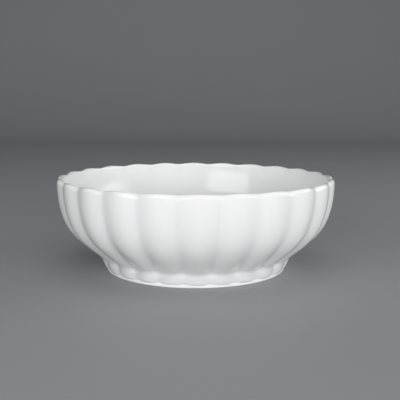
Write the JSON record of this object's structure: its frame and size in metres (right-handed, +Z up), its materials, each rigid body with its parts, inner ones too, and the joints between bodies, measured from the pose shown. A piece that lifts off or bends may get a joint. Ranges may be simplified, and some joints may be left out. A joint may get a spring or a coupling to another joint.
{
  "type": "serving bowl",
  "caption": "Round fluted porcelain serving bowl with a scalloped rounded lip, deep lobed walls and a lobed foot ring.",
  "frame": {"origin": "centre of the bare foot rim, on the plane that the bowl stands on", "axes": "+Z up along the bowl's axis, and one lobe's crest faces -Y"},
  "size_m": [0.26, 0.26, 0.087],
  "materials": {
    "porcelain": "bare fired porcelain, ground smooth and matte",
    "slip": "fired casting slip, matte",
    "glaze": "clear glossy glaze over white porcelain"
  },
  "bodies": {
    "root": {"bowl_body": "porcelain", "foot_ring": "porcelain", "foot_lute": "slip", "glaze_outside": "glaze", "glaze_inside": "glaze", "glaze_underside": "glaze"}
  },
  "joints": []
}
